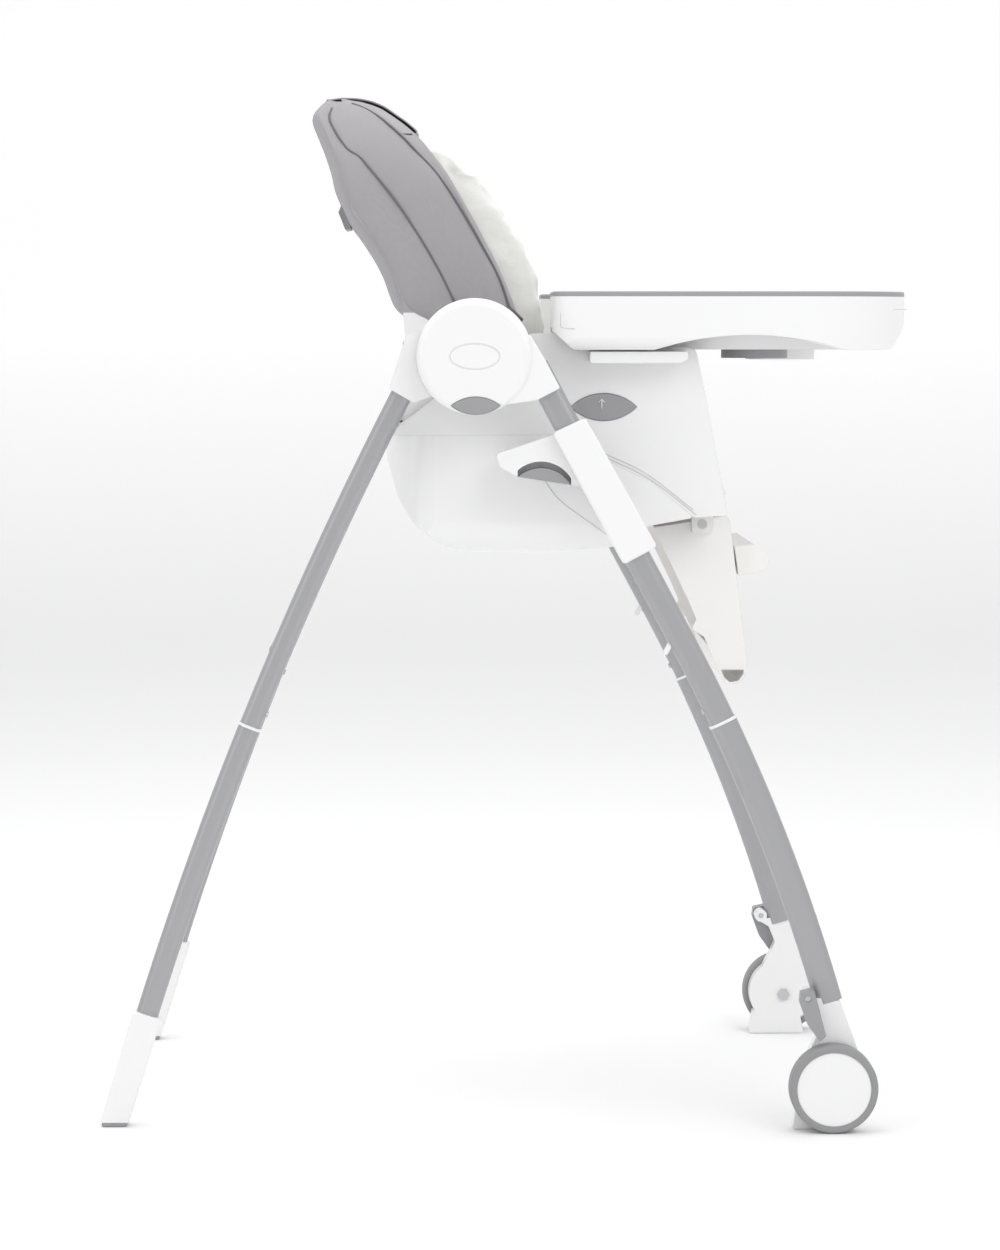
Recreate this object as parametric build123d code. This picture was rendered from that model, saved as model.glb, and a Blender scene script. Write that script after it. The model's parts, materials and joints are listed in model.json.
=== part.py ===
from build123d import *
import os

# Folding baby high chair, in millimetres. X runs across the chair (+X is the child's left),
# Y runs from front (-Y) to back (+Y) and Z is up. The origin is on the floor, below the middle.
# Side outlines are lists of (Y, Z) points, each with a list of its corner radii.

os.makedirs("parts", exist_ok=True)

# ---- layers across the chair: inner and outer |X| ----
FRONT_TUBE_X = 263.0             # middle of the front legs
REAR_TUBE_X = 238.0              # middle of the rear legs
FRONT_HUB_X = (250.0, 286.0)
REAR_HUB_X = (226.0, 249.4)
FORK_X = (255.5, 272.0)          # leg-end fitting that carries the wheel
FOOT_X = (226.5, 250.0)
FOOT_PAD_X = (229.0, 248.0)
WHEEL_X = (273.5, 297.0)
BRAKE_X = (273.5, 291.0)
STOP_X = (259.0, 267.0)
WING_X = (231.0, 262.0)          # carriage wing beside the seat
SLEEVE_X = (250.0, 276.5)
ARM_X = (178.0, 205.0)           # hollow side of the seat
BUCKET_X = (174.4, 177.6)        # side wall of the inner seat shell
RAIL_X = (205.0, 239.0)
ARM_CHANNEL_X = (172.0, 211.0)   # groove under the tray that straddles an arm

GAP = 0.4                        # space between plastic parts that move past each other
SHELL = 3.0                      # wall of the plastic mouldings
PIN_FIT = 0.05                   # radial play of a pin in its hole
BEYOND = 60.0                    # how far a cutting shape reaches past what it cuts

# ---- legs ----
WALL = 1.6
TUBE_WIDTH = 18.0
FRONT_DEPTH = (26.0, 28.0)       # upper and lower tube, seen from the side
REAR_DEPTH = (21.5, 22.5)
SPIGOT = 35.0
COLLAR = 3.0
COLLAR_PROUD = 0.8
FRONT_TOP, FRONT_BEND, FRONT_END = (-27.0, 759.0), (-173.0, 487.0), (-320.0, 127.0)
FRONT_SPLIT = 0.225              # share of the bent stretch that belongs to the upper tube
REAR_TOP, REAR_END = (91.0, 757.5), (372.0, 75.0)
REAR_START = (0.466, -0.885)     # direction in which a rear leg leaves its hub
REAR_SPLIT = 0.53
SNAP_RADIUS = 3.0
SNAP_LENGTH = 7.0
SNAP_PROUD = 2.0
SNAP_BACK = 16.0                 # from the collar up to the snap button
STOP_AT = 306.0                  # down the front leg to the stop of the seat's travel
STOP_SIZE = (5.0, 19.0)
STOP_TILT = 28.2
CROSS_TUBE = (228.0, 476.0)
CROSS_RADIUS = 9.0

# ---- hub ----
HUB = (33.0, 769.0)
HUB_RADIUS = 57.0
HUB_EDGE = 8.0                   # rounding of the hub's outer rim
HUB_ARM_STEP = 4.0               # how far the leg socket lies below the hub's face
HUB_ROOM = (43.0, 12.0)          # radius and depth of the hollow behind the face
REAR_HUB_RADIUS = 52.0
PIN_RADIUS = 6.0
OVAL = (25.0, 13.0, 1.2)         # half width, half height and groove width of the face's oval
OVAL_DEPTH = 0.5
FOLD_BUTTON = (32.0, 721.0)
FOLD_BUTTON_SIZE = (48.0, 17.0)
BUTTON_DEPTH = 8.0
BUTTON_TRAVEL = 4.0

# ---- wheels, brakes and feet ----
AXLE = (-323.0, 44.0)
WHEEL_RADIUS = 44.0
RIM_RADIUS = 37.0
RIM_DISH = (33.0, 11.0, 15.0)    # outer radius, inner radius and depth of the rim's hollow
AXLE_RADIUS = 4.0
FORK_PLATE = (-320.0, 47.0)
BRAKE_PIVOT = (-297.0, 134.0)
BRAKE_PIN = 3.0
FOOT_PAD = 3.5

# ---- seat, backrest, leg rest ----
BACK_PIVOT = (50.0, 700.0)
SHELL_HALF, COVER_HALF, PAD_HALF = 168.0, 174.0, 145.0
COVER_THICK = 4.6
PAD_HOLLOW = 95.0
BACK_TOP_ROUND = 118.0           # corner radius of the backrest, seen from the front
STRAP_X = (34.0, 60.0)
STRAP_THICK = 2.0
TUB_ROUND = 34.0                 # rounding of the tub's bottom edges, seen from the front
TUB_REAR_ROUND = 60.0            # rounding of its rear corners, seen from above
TUB_MOUTH = -148.0               # the tub is open to the front from here
LEG_PIVOT = (-200.0, 598.0)
LEG_PIN = 5.0
LEG_HALF = 140.0
LEG_ROUND_LOW = 30.0
FOOTREST_HALF = 110.0
FOOTREST_SLOT_HALF = 12.0
SEAT_PAD_HALF = 168.0
SIDE_BUTTON = (-97.0, 718.0)
SIDE_BUTTON_SIZE = (66.0, 27.0)
BUCKLE_HALF, BUCKLE_BUTTON_HALF = 24.0, 8.6

# ---- tray ----
TRAY_HALF = 255.0
TRAY_REAR, TRAY_FRONT = -45.0, -405.0
TRAY_CORNERS = (24.0, 120.0)     # rear and front corner radii, seen from above
TRAY_Z = (775.0, 828.0)
TRAY_EDGE = 16.0                 # rounding of the tray's lower side edges
TRAY_DECK = 800.0                # floor of the tray beside the middle well
WELL_HALF = 168.0
WAIST_HALF, WAIST_FRONT, WAIST_ROUND = 150.0, -128.0, 70.0
RIM_Z = (828.0, 833.0)
RIM_WIDTH = 9.0
RIM_EDGE = 2.0
DISH_Z = 808.0
DISH_THICK = 2.5
CUPS = ((-90.0, -257.0), (90.0, -300.0))
CUP_RADIUS = 34.0
CUP_BOTTOM = (766.0, 767.0)
LEVER_HALF = 30.0

# ---- side outlines and their corner radii ----
HUB_ARM = [(-21, 791), (-36, 766), (-51, 738), (-28, 726), (0, 722), (33, 740)]
REAR_HUB_ARM = [(100, 790), (117, 737), (93, 723), (60, 735), (50, 760), (60, 800)]
FORK_NECK = [(-303, 129), (-331, 129), (-339, 106), (-352, 70), (-323, 44), (-296, 70), (-313, 104)]
FORK_BLOCK = [(-346, 0), (-284, 0), (-288, 26), (-340, 30)]
FORK_ROOT = [(-310, 131), (-328, 126), (-326, 112), (-312, 112)]
FORK_EAR = [(-292, 130), (-312, 118), (-312, 132)]
PEDAL = [(-303, 143), (-290, 140), (-289, 130), (-297, 108), (-309, 91), (-315, 97)]
BOOT = [(346, 108), (374, 117), (408, FOOT_PAD), (379, FOOT_PAD)]
BOOT_ROUND = [4, 4, 3, 3]
BOOT_PAD = [(381, 0), (406, 0), (406, FOOT_PAD), (381, FOOT_PAD)]

SLEEVE = [(-43, 694), (-76, 709), (-147, 582), (-114, 564)]
WING = [(-50, 694), (-16, 682), (12, 673), (8, 660), (-10, 650), (-62, 642), (-95, 640)]
WING_ROUND = [2, 8, 4, 6, 4, 2, 2]
CARRIAGE_BOSS = [(-46, 682), (-2, 670), (-8, 662), (-62, 654), (-96, 604), (-112, 612)]
LEVER_ENDS = (-62.0, 642.4), (-10.0, 650.4)
LEVER_TOP = (-34.0, 659.0)

BASE = [
    (119, 690), (121, 668), (108, 625), (92, 600), (62, 578), (30, 571), (-60, 573), (-108, 577),
    (-144, 599), (-188, 607), (-145, 643), (-99, 665), (-40, 690),
]
BASE_ROUND = [2, 12, 30, 20, 30, 20, 40, 15, 15, 2, 30, 20, 5]
ARM = [
    (119, 690), (62, 734), (10, 764), (-24, 791), (-60, 793), (-189, 776), (-200, 725), (-210, 669),
    (-222, 609), (-188, 607), (-145, 643), (-99, 665), (-40, 690),
]
ARM_ROUND = [2, 20, 20, 8, 8, 8, 15, 20, 3, 2, 30, 20, 5]
SEAT_FLOOR = [(-5, 640), (-5, 643), (-216, 643), (-222, 629), (-219, 629), (-213, 640)]
SEAT_WALL = [
    (108, 700), (60, 730), (8, 758), (-26, 786), (-60, 788), (-184, 772), (-206, 669), (-214, 641),
    (-5, 641), (60, 660), (100, 672),
]
SEAT_EAR = [(-213, 641), (-187, 641), (-190, 588), (-210, 588)]
RAIL = [(-82, 762), (-82, 773.5), (-179, 773.5), (-179, 766), (-172, 762)]
SEAT_PAD = [(-38, 643.4), (-38, 662), (-205, 668), (-218, 655), (-212, 643.4)]
SEAT_PAD_ROUND = [3, 9, 9, 5, 0.2]
CROTCH_STRAP = [(-150, 668.5), (-150, 700), (-147.5, 700), (-147.5, 668.5)]
LAP_STRAP = [(-120, 669), (-118.5, 669), (-118.5, 695), (-120, 695)]
BUCKLE = [(-158, 700.4), (-158, 722), (-142, 722), (-142, 700.4)]
BUCKLE_HOLE = [(-160, 706), (-160, 716), (-150, 716), (-150, 706)]
BUCKLE_BUTTON = [(-159, 706.4), (-159, 715.6), (-154, 715.6), (-154, 706.4)]

COVER = [
    (112, 828), (119, 853), (135, 881), (158, 908), (169, 950), (184, 990), (191, 1012), (186, 1025),
    (162, 1031), (130, 1024), (105, 1010), (78, 983), (44, 931), (18, 881), (-1, 842), (-16, 805),
    (40, 795), (80, 801),
]
COVER_ROUND = [3, 20, 25, 20, 30, 30, 8, 8, 15, 30, 30, 30, 60, 60, 40, 4, 10, 8]
CHEEK = [(105, 826), (100, 776), (106, 718), (88, 664), (45, 646), (16, 664), (2, 720), (-8, 806)]
CHEEK_ROUND = [3, 20, 20, 20, 20, 15, 20, 4]
HOLLOW = [
    (140, 992), (118, 965), (80, 895), (48, 830), (28, 760), (20, 700), (20, 630), (-90, 630),
    (-90, 992),
]
HOLLOW_ROUND = [12, 30, 30, 30, 30, 10, 1, 1, 1]
PAD = [
    (114, 965), (78, 983), (62, 977), (29, 950), (3, 914), (-19, 880), (-33, 845), (-38, 800),
    (-30, 740), (-12, 690), (16, 678), (18, 700), (25.5, 760), (45.5, 830), (77, 895),
]
PAD_ROUND = [3, 8, 8, 20, 30, 30, 30, 30, 30, 15, 5, 10, 20, 30, 30]
PAD_FACE = [(92, 962), (58, 900), (27, 830), (7, 760), (-2, 700), (-2, 660), (-90, 660), (-90, 1000)]
PAD_FACE_ROUND = [20, 30, 30, 30, 5, 1, 1, 1]
SHOULDER_STRAP = [(53, 890), (26.4, 829.6), (6.4, 759.8), (-2.6, 700), (-2.6, 690)]
GRIP_ROOM = [(146, 940), (230, 940), (230, 885), (140, 885)]
GRIP_ROOM_HALF = 62.0
GRIP = [(150, 928), (165, 930), (171, 916), (164, 898), (158, 899), (160, 912), (150, 914)]
GRIP_HALF = 48.0

LEG_REST = [
    (-151, 594), (-162, 571), (-187, 519), (-195, 500), (-190, 490), (-203, 482), (-222, 438),
    (-230, 431), (-241, 433), (-247, 443), (-247, 457), (-229, 600), (-226, 606),
]
LEG_REST_ROUND = [2, 10, 10, 3, 3, 4, 8, 4, 4, 4, 4, 2, 3]
LEG_SLOT = [(-220, 572), (-255, 572), (-255, 492), (-220, 492)]
FOOTREST = [(-236, 573), (-256, 575), (-271, 565), (-274, 557), (-270, 549), (-240.5, 542)]
FOOTREST_STEM = [(-238, 568), (-238, 547), (-228, 547), (-226, 568)]
FOOTREST_HEAD = [(-228.8, 570), (-231.9, 546), (-227.4, 546), (-224.6, 570)]
FOOTREST_HEAD_HALF = 24.0

TRAY_SIDE = [(-44.5, 829), (-44.5, 794), (-66, 774.5), (-384, 774.5), (-396, 790), (-405.5, 806),
             (-405.5, 829)]
TRAY_SIDE_ROUND = [0.5, 6, 14, 14, 6, 8, 0.5]
TRAY_ARCH = (-145.0, -240.0, -334.0)       # start, crown and end of the arch in the tray's side
ARCH_CROWN = 790.0
ARM_CHANNEL = [(-30, 760), (-30, 797), (-200, 797), (-206, 760)]
LEVER_SLOT = [(-356, 791.6), (-410, 791.6), (-410, 804.4), (-356, 804.4)]
TRAY_LEVER = [(-360, 792), (-407, 792), (-407, 804), (-400, 804), (-360, 798)]


# ---------------------------------------------------------------- shared shapes
def profile(points, radii):
    """A closed side outline with rounded corners."""
    return make_face(FilletPolyline(*points, radius=radii, close=True))


def slab(face, x_span):
    """A side outline carried across the chair from one X to another."""
    return extrude(Plane.YZ.offset(x_span[0]) * face, x_span[1] - x_span[0], dir=(1, 0, 0))


def across(face, half):
    """A side outline carried from -half to +half."""
    return slab(face, (-half, half))


def rod(centre, radius, x_span):
    """A round bar across the chair at one (Y, Z) place."""
    return slab(Pos(*centre) * Circle(radius), x_span)


def upright(face, z_span):
    """An outline seen from above, carried from one height to another."""
    return extrude(Pos(0, 0, z_span[0]) * face, z_span[1] - z_span[0], dir=(0, 0, 1))


def front_view(half, z_span, radii):
    """All that lies inside a rounded rectangle seen from the front; radii are (lower, upper)."""
    low, high = z_span
    corners = [(-half, low), (half, low), (half, high), (-half, high)]
    outline = profile(corners, [radii[0], radii[0], radii[1], radii[1]])
    return extrude(Plane.XZ.offset(-500) * outline, 1000)


def lens(centre, size, grow=0.0):
    """A pointed lens outline, optionally grown by a margin."""
    length, height = size[0] + 2 * grow, size[1] + 2 * grow
    top = ThreePointArc((-length / 2, 0), (0, height / 2), (length / 2, 0))
    bottom = ThreePointArc((length / 2, 0), (0, -height / 2), (-length / 2, 0))
    return Pos(*centre) * make_face(top + bottom)


def rounded(shape, radius):
    """The outermost face's edge rounded over."""
    return fillet(shape.faces().sort_by(Axis.X)[-1].edges(), radius)


def mirrored(shape):
    return mirror(shape, Plane.YZ)


def group(*shapes):
    """Several separate solids in one node."""
    return Compound(children=[solid for shape in shapes for solid in shape.solids()])


def both(shape):
    """A piece and its mirror image in one node."""
    return group(shape, mirrored(shape))


def save(name, shape):
    export_step(shape, f"parts/{name}.step")


def save_pair(name, shape):
    """The same piece on the child's left and, mirrored, on the right."""
    save(f"{name}_l", shape)
    save(f"{name}_r", mirrored(shape))


# ---------------------------------------------------------------- legs
def front_path():
    """Straight where the seat slides, then gently bent down to the wheel."""
    straight = Line(FRONT_TOP, FRONT_BEND)
    bent = TangentArc(FRONT_BEND, FRONT_END, tangent=straight % 1)
    return straight, bent


def rear_path():
    return TangentArc(REAR_TOP, REAR_END, tangent=REAR_START)


def bar(path, tube_x, width, depth):
    """A bar with rounded sides along a side-plane path."""
    path = Plane.YZ.offset(tube_x) * path
    start = Plane(path @ 0, x_dir=(1, 0, 0), z_dir=path % 0)
    return sweep(start * RectangleRounded(width, depth, width / 2 - 0.2), path=path)


def tube(path, tube_x, width, depth):
    """The same bar, hollow."""
    return bar(path, tube_x, width, depth) - bar(path, tube_x, width - 2 * WALL, depth - 2 * WALL)


def stretch(path, start, length):
    """A length of a path in mm, from a share of it; a negative length runs back."""
    end = start + length / path.length
    return path.trim(min(start, end), max(start, end))


def button_solid(path, share, tube_x, outward_sign, depth, radius, proud):
    """A round button that stands proud of a tube's front or rear wall."""
    centre = path @ share
    along = path % share
    outward = Vector(0, along.Y, -along.X) * outward_sign
    tip = Vector(tube_x, centre.X, centre.Y) + outward * (depth / 2 + proud)
    return extrude(Plane(tip, z_dir=outward) * Circle(radius), -(SNAP_LENGTH + proud - SNAP_PROUD))


def leg(upper_path, bent, split, tube_x, depths, outward_sign):
    """Upper tube, lower tube with its spigot, collar and snap button of one leg."""
    gap = COLLAR / bent.length
    upper = tube(upper_path, tube_x, TUBE_WIDTH, depths[0])
    lower = tube(bent.trim(split + gap, 1), tube_x, TUBE_WIDTH, depths[1])
    inner = (TUBE_WIDTH - 2 * WALL - GAP, depths[0] - 2 * WALL - GAP)
    spigot = tube(stretch(bent, split + 3 * gap, -SPIGOT - 3 * COLLAR), tube_x, *inner)
    root = stretch(bent, split + gap, 2 * COLLAR)
    lower += bar(root, tube_x, TUBE_WIDTH - WALL, depths[1] - WALL) - bar(root, tube_x, *inner)
    collar = stretch(bent, split, COLLAR)
    ring = bar(collar, tube_x, TUBE_WIDTH + 2 * COLLAR_PROUD, depths[1] + 2 * COLLAR_PROUD)
    ring -= bar(collar, tube_x, inner[0] + GAP, inner[1] + GAP)
    at = split - SNAP_BACK / bent.length
    hole = button_solid(
        bent, at, tube_x, outward_sign, depths[0], SNAP_RADIUS + PIN_FIT, SNAP_PROUD + SHELL
    )
    button = button_solid(bent, at, tube_x, outward_sign, depths[0], SNAP_RADIUS, SNAP_PROUD)
    return upper - hole, lower + spigot - hole, ring, button


def seat_stop(straight, upper_path):
    """A small block behind a front leg that ends the seat's travel."""
    along = (straight @ 1 - straight @ 0).normalized()
    behind = Vector(-along.Y, along.X) * (FRONT_DEPTH[0] / 2 + COLLAR_PROUD)
    place = straight @ 0 + along * STOP_AT + behind
    outline = Pos(place.X, place.Y) * Rot(0, 0, STOP_TILT) * RectangleRounded(*STOP_SIZE, 2.4)
    return slab(outline, STOP_X) - bar(upper_path, FRONT_TUBE_X, TUBE_WIDTH, FRONT_DEPTH[0])


def make_legs():
    """Front and rear legs: oval steel tubes in two lengths, with collars and snap buttons."""
    straight, bent = front_path()
    upper_path = straight + bent.trim(0, FRONT_SPLIT)
    upper, lower, ring, snap = leg(
        upper_path, bent, FRONT_SPLIT, FRONT_TUBE_X, FRONT_DEPTH, -1
    )
    save_pair("front_leg_upper", upper)
    save_pair("front_leg_lower", lower)
    save_pair("front_snap_button", snap)
    save("leg_trims", group(both(ring), both(seat_stop(straight, upper_path))))

    path = rear_path()
    upper, lower, ring, snap = leg(
        path.trim(0, REAR_SPLIT), path, REAR_SPLIT, REAR_TUBE_X, REAR_DEPTH, 1
    )
    cross = rod(CROSS_TUBE, CROSS_RADIUS, (-REAR_TUBE_X, REAR_TUBE_X))
    cross -= rod(CROSS_TUBE, CROSS_RADIUS - WALL, (-REAR_TUBE_X, REAR_TUBE_X))
    legs = bar(path, REAR_TUBE_X, TUBE_WIDTH, REAR_DEPTH[0])
    save("rear_cross_tube", cross - legs - mirrored(legs))
    save_pair("rear_leg_upper", upper)
    save_pair("rear_leg_lower", lower)
    save_pair("rear_snap_button", snap)
    save("rear_collars", both(ring))


# ---------------------------------------------------------------- hubs
def make_hubs():
    """The folding joint: a domed outer housing on each front leg, a flat one on each rear leg."""
    inner_face, face = FRONT_HUB_X
    outer = rounded(rod(HUB, HUB_RADIUS, FRONT_HUB_X), HUB_EDGE)
    outer += rounded(slab(profile(HUB_ARM, 2), (inner_face, face - HUB_ARM_STEP)), 2)
    straight, bent = front_path()
    outer -= bar(straight, FRONT_TUBE_X, TUBE_WIDTH, FRONT_DEPTH[0])
    outer -= rod(HUB, HUB_ROOM[0], (inner_face, inner_face + HUB_ROOM[1]))
    outer += rod(HUB, 2 * PIN_RADIUS, (inner_face, inner_face + HUB_ROOM[1] + 2))
    outer -= rod(HUB, PIN_RADIUS, (inner_face, face - PIN_RADIUS))
    oval = Ellipse(OVAL[0], OVAL[1]) - Ellipse(OVAL[0] - OVAL[2], OVAL[1] - OVAL[2])
    outer -= slab(Pos(*HUB) * oval, (face - OVAL_DEPTH, face + 1))
    pocket = lens(FOLD_BUTTON, FOLD_BUTTON_SIZE, GAP)
    outer -= slab(pocket, (face - BUTTON_DEPTH - BUTTON_TRAVEL - 1, face + 1))
    save_pair("hub_front", outer)
    button = slab(lens(FOLD_BUTTON, FOLD_BUTTON_SIZE), (face - BUTTON_DEPTH, face + 0.6))
    save_pair("fold_button", button)

    inner = slab(profile(REAR_HUB_ARM, 2) + Pos(*HUB) * Circle(REAR_HUB_RADIUS), REAR_HUB_X)
    inner -= bar(rear_path(), REAR_TUBE_X, TUBE_WIDTH, REAR_DEPTH[0])
    inner -= rod(HUB, PIN_RADIUS + PIN_FIT, REAR_HUB_X)
    save_pair("hub_rear", inner)


# ---------------------------------------------------------------- wheels and feet
def make_forks():
    """The fitting at the end of each front leg, plugged into the tube."""
    ear = Pos(*BRAKE_PIVOT) * Circle(7) + profile(FORK_EAR, 1)
    plate = Pos(*FORK_PLATE) * Circle(RIM_RADIUS - 1)
    body = slab(profile(FORK_NECK, 3) + profile(FORK_BLOCK, 2) + plate + ear, FORK_X)
    straight, bent = front_path()
    body -= bar(bent, FRONT_TUBE_X, TUBE_WIDTH, FRONT_DEPTH[1])
    bore = (TUBE_WIDTH - 2 * WALL - GAP, FRONT_DEPTH[1] - 2 * WALL - GAP)
    body += bar(stretch(bent, 1.0, -SPIGOT + 5), FRONT_TUBE_X, *bore)
    body += slab(profile(FORK_ROOT, 1), FORK_X)
    body -= tube(bent, FRONT_TUBE_X, TUBE_WIDTH, FRONT_DEPTH[1])
    body -= rod(AXLE, AXLE_RADIUS, FORK_X) + rod(BRAKE_PIVOT, BRAKE_PIN, FORK_X)
    save_pair("wheel_fork", body)


def make_wheels():
    """Wheels on short axles, a brake pedal over each, and the pins of the frame."""
    axle_end = WHEEL_X[1] - 8
    axle = rod(AXLE, AXLE_RADIUS, (FORK_X[0], axle_end))
    head = slab(Pos(*AXLE) * RegularPolygon(7, 6), (FORK_X[0] - 3, FORK_X[0]))
    hub_pin = rod(HUB, PIN_RADIUS, (REAR_HUB_X[0], FRONT_HUB_X[1] - PIN_RADIUS))
    brake_pin = rod(BRAKE_PIVOT, BRAKE_PIN, (FORK_X[0], axle_end))
    save("frame_pins", both(group(axle + head, hub_pin, brake_pin)))

    tyre = slab(Pos(*AXLE) * Circle(WHEEL_RADIUS), WHEEL_X)
    save_pair("wheel_tyre", fillet(tyre.edges(), 3) - rod(AXLE, RIM_RADIUS, WHEEL_X))
    rim = slab(Pos(*AXLE) * Circle(RIM_RADIUS), (WHEEL_X[0] + 0.5, WHEEL_X[1] - 1))
    dish = Pos(*AXLE) * (Circle(RIM_DISH[0]) - Circle(RIM_DISH[1]))
    rim -= slab(dish, (WHEEL_X[0], WHEEL_X[0] + RIM_DISH[2]))
    rim -= rod(AXLE, AXLE_RADIUS + PIN_FIT, (WHEEL_X[0], axle_end + 0.5))
    save_pair("wheel_rim", rim)

    pedal = slab(profile(PEDAL, 2), BRAKE_X)
    save_pair("brake_pedal", pedal - rod(BRAKE_PIVOT, BRAKE_PIN + PIN_FIT, WHEEL_X))


def make_feet():
    """Plastic boots on the rear legs, with a soft pad under each."""
    boot = slab(profile(BOOT, BOOT_ROUND), FOOT_X)
    boot = fillet(boot.edges().filter_by(Plane.YZ), 2)
    boot -= bar(rear_path(), REAR_TUBE_X, TUBE_WIDTH, REAR_DEPTH[1])
    save_pair("rear_foot", boot)
    save("rear_foot_pads", both(slab(profile(BOOT_PAD, 1), FOOT_PAD_X)))


# ---------------------------------------------------------------- seat carriage
def make_carriages():
    """Sleeves that slide on the front legs and carry the seat, with a latch lever in each."""
    straight, bent = front_path()
    bore = bar(straight, FRONT_TUBE_X, TUBE_WIDTH + 2 * GAP, FRONT_DEPTH[0] + 2 * GAP)
    body = fillet(slab(profile(SLEEVE, 4), SLEEVE_X).edges().filter_by(Plane.YZ), 3)
    body += slab(profile(WING, WING_ROUND), WING_X)
    body += slab(profile(CARRIAGE_BOSS, 3), (ARM_X[1], SLEEVE_X[0] + 1))
    body -= bore
    start, end = LEVER_ENDS
    lever = make_face(Polyline(start, end) + ThreePointArc(end, LEVER_TOP, start))
    pocket = offset(lever, GAP)
    room = make_hull((pocket + Pos(0, BUTTON_TRAVEL + 2) * pocket).edges()) + Pos(0, -8) * pocket
    pocket_x = WING_X[0] + 12
    body -= slab(room, (pocket_x, WING_X[1] + 1))
    save_pair("carriage", body)
    save_pair("height_lever", slab(lever, (pocket_x + GAP, WING_X[1] + 0.8)))


# ---------------------------------------------------------------- seat
def tub_solid(outline, inset):
    """The tub's side outline, rounded as seen from the front and from above."""
    half = ARM_X[1] - inset
    low = BASE[5][1] + inset
    solid = across(outline, half + 1) & front_view(half, (low, 800), (TUB_ROUND - inset, 1))
    plan_half, rear = half + 1, max(y for y, z in BASE) - inset + 0.5
    corners = [(-plan_half, rear), (plan_half, rear), (plan_half, -500), (-plan_half, -500)]
    round_rear = TUB_REAR_ROUND - inset
    return solid & upright(profile(corners, [round_rear, round_rear, 1, 1]), (500, 900))


def make_seat():
    """Lower tub, hollow arms and the inner seat shell, all carried by the carriages."""
    outer = profile(BASE, BASE_ROUND)
    inside = offset(outer, -SHELL)
    tub = tub_solid(outer, 0) - tub_solid(inside + Pos(0, 8) * inside, SHELL)
    mouth = Pos(0, TUB_MOUTH - BEYOND / 2, BASE[8][1]) * Box(2 * BUCKET_X[1], BEYOND, 2 * BEYOND)
    save("seat_base", tub - mouth)

    outer = profile(ARM, ARM_ROUND)
    arm = slab(outer, ARM_X) - slab(offset(outer, -SHELL), (ARM_X[0], ARM_X[1] - SHELL))
    arm -= slab(lens(SIDE_BUTTON, SIDE_BUTTON_SIZE, GAP), ARM_X)
    pin_end = ARM_X[1] - SHELL / 2
    arm += rod(BACK_PIVOT, 2 * PIN_RADIUS, (ARM_X[0], pin_end)) & slab(outer, ARM_X)
    arm -= rod(BACK_PIVOT, PIN_RADIUS, (ARM_X[0], pin_end))
    save_pair("seat_arm", arm)
    button = slab(lens(SIDE_BUTTON, SIDE_BUTTON_SIZE), (ARM_X[1] - BUTTON_DEPTH, ARM_X[1] + 1))
    save_pair("side_button", button)

    wall = slab(profile(SEAT_WALL, 2), BUCKET_X) - rod(BACK_PIVOT, PIN_RADIUS, BUCKET_X)
    ear_x = (LEG_HALF + 1, LEG_HALF + 9)
    ear = slab(profile(SEAT_EAR, 3), ear_x) - rod(LEG_PIVOT, LEG_PIN, ear_x)
    floor = across(profile(SEAT_FLOOR, 0.5), BUCKET_X[1])
    save("seat_inner", floor + wall + mirrored(wall) + ear + mirrored(ear))

    back_pin = rod(BACK_PIVOT, PIN_RADIUS, (SHELL_HALF - 18, pin_end))
    leg_pin = rod(LEG_PIVOT, LEG_PIN, (LEG_HALF - 12, ear_x[1]))
    save("seat_pins", both(group(back_pin, leg_pin)))
    save("tray_rails", both(slab(profile(RAIL, 2), RAIL_X)))


def make_harness_on_seat():
    """Seat cushion, lap and crotch straps, and the buckle with its push button."""
    save("seat_pad", across(profile(SEAT_PAD, SEAT_PAD_ROUND), SEAT_PAD_HALF))
    crotch = across(profile(CROTCH_STRAP, 0.5), 16)
    lap = slab(profile(LAP_STRAP, 0.3), (26, 160))
    save("lap_straps", group(crotch, both(lap)))
    buckle = across(profile(BUCKLE, 4), BUCKLE_HALF)
    save("buckle", buckle - across(profile(BUCKLE_HOLE, 0.5), BUCKLE_BUTTON_HALF + GAP))
    save("buckle_button", across(profile(BUCKLE_BUTTON, 0.5), BUCKLE_BUTTON_HALF))


# ---------------------------------------------------------------- backrest
def back_view(half, low=600):
    """The backrest from the front: straight sides and a broad round top."""
    return front_view(half, (low, 1040), (1, BACK_TOP_ROUND))


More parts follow.
